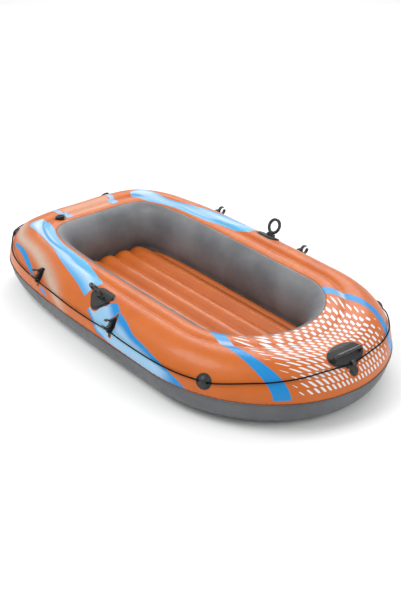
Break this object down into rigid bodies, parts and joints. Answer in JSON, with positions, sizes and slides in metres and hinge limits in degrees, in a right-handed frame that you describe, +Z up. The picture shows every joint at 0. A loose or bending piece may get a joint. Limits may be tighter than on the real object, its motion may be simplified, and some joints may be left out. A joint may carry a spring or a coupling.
{
  "type": "inflatable boat",
  "caption": "Inflatable rowing boat with twin-chamber tubes, ribbed floor, folding rowlocks, oar clasps, valves, bow handle and a grab rope.",
  "frame": {"origin": "middle of the hull's length, on the centreline, at the level it stands on", "axes": "+X towards the bow, +Y to port, +Z up"},
  "size_m": [1.9647, 1.1368, 0.3461],
  "materials": {
    "top_film": "soft gloss vinyl film with printed bands",
    "grey_film": "soft gloss grey vinyl film",
    "floor_film": "soft gloss vinyl film",
    "moulding": "flexible black moulding, fine grain",
    "hard_plastic": "hard black moulding, smooth",
    "valve_plastic": "black moulding, smooth",
    "flap": "soft translucent disc",
    "rope": "braided black cord"
  },
  "bodies": {
    "root": {"hull_top_skin": "top_film", "hull_bottom_skin": "grey_film", "cockpit_wall": "grey_film", "chamber_divider": "grey_film", "floor_top_sheet": "floor_film", "floor_bottom_sheet": "grey_film", "floor_webs": "floor_film", "rowlock_base_starboard": "moulding", "rowlock_base_port": "moulding", "oar_clasp_aft_starboard": "moulding", "oar_clasp_aft_port": "moulding", "oar_clasp_fore_starboard": "moulding", "oar_clasp_fore_port": "moulding", "rope_holder_side_starboard": "moulding", "rope_holder_side_port": "moulding", "rope_holder_stern_starboard": "moulding", "rope_holder_stern_port": "moulding", "bow_handle_patch": "moulding", "bow_handle_bar": "moulding", "grab_rope": "rope", "rope_knot": "rope", "inner_valve_base": "valve_plastic", "inner_valve_body": "valve_plastic", "inner_valve_flap": "flap", "inner_valve_tether_strap": "valve_plastic", "outer_valve_base": "valve_plastic", "outer_valve_body": "valve_plastic", "outer_valve_flap": "flap", "outer_valve_tether_strap": "valve_plastic", "floor_valve_base": "valve_plastic", "floor_valve_body": "valve_plastic", "floor_valve_flap": "flap", "floor_valve_tether_strap": "valve_plastic"},
    "rowlock_ring_starboard": {"rowlock_ring_starboard": "hard_plastic"},
    "rowlock_ring_port": {"rowlock_ring_port": "hard_plastic"},
    "inner_valve_collar": {"inner_valve_tether_ring": "valve_plastic"},
    "inner_valve_cap": {"inner_valve_cap": "valve_plastic"},
    "outer_valve_collar": {"outer_valve_tether_ring": "valve_plastic"},
    "outer_valve_cap": {"outer_valve_cap": "valve_plastic"},
    "floor_valve_collar": {"floor_valve_tether_ring": "valve_plastic"},
    "floor_valve_cap": {"floor_valve_cap": "valve_plastic"}
  },
  "joints": [
    {"name": "rowlock_fold_starboard", "type": "hinge", "parent": "root", "child": "rowlock_ring_starboard", "pos_m": [-0.04225, -0.47492, 0.27636], "axis": [1, -0.0067, 0], "range_deg": [-70, 70]},
    {"name": "rowlock_fold_port", "type": "hinge", "parent": "root", "child": "rowlock_ring_port", "pos_m": [-0.04225, 0.47492, 0.27636], "axis": [1, 0.0067, 0], "range_deg": [-70, 70]},
    {"name": "inner_cap_lift", "type": "slide", "parent": "root", "child": "inner_valve_collar", "axis": [-0.1613, -0.0193, 0.9867], "range_m": [0, 0.00451]},
    {"name": "inner_cap_turn", "type": "hinge", "parent": "inner_valve_collar", "child": "inner_valve_cap", "pos_m": [-0.79723, -0.17552, 0.27459], "axis": [-0.1613, -0.0193, 0.9867], "range_deg": [0, 540]},
    {"name": "outer_cap_lift", "type": "slide", "parent": "root", "child": "outer_valve_collar", "axis": [-0.7408, 0.0551, 0.6695], "range_m": [0, 0.00451]},
    {"name": "outer_cap_turn", "type": "hinge", "parent": "outer_valve_collar", "child": "outer_valve_cap", "pos_m": [-0.94034, 0.18278, 0.239], "axis": [-0.7408, 0.0551, 0.6695], "range_deg": [0, 540]},
    {"name": "floor_cap_lift", "type": "slide", "parent": "root", "child": "floor_valve_collar", "axis": [0, 0, 1], "range_m": [0, 0.00451]},
    {"name": "floor_cap_turn", "type": "hinge", "parent": "floor_valve_collar", "child": "floor_valve_cap", "pos_m": [-0.54, -0.17867, 0.075], "axis": [0, 0, 1], "range_deg": [0, 540]}
  ],
  "couplings": [
    {"joint": "inner_cap_lift", "follows": "inner_cap_turn", "m_per_rad": 0.00047746},
    {"joint": "outer_cap_lift", "follows": "outer_cap_turn", "m_per_rad": 0.00047746},
    {"joint": "floor_cap_lift", "follows": "floor_cap_turn", "m_per_rad": 0.00047746}
  ]
}
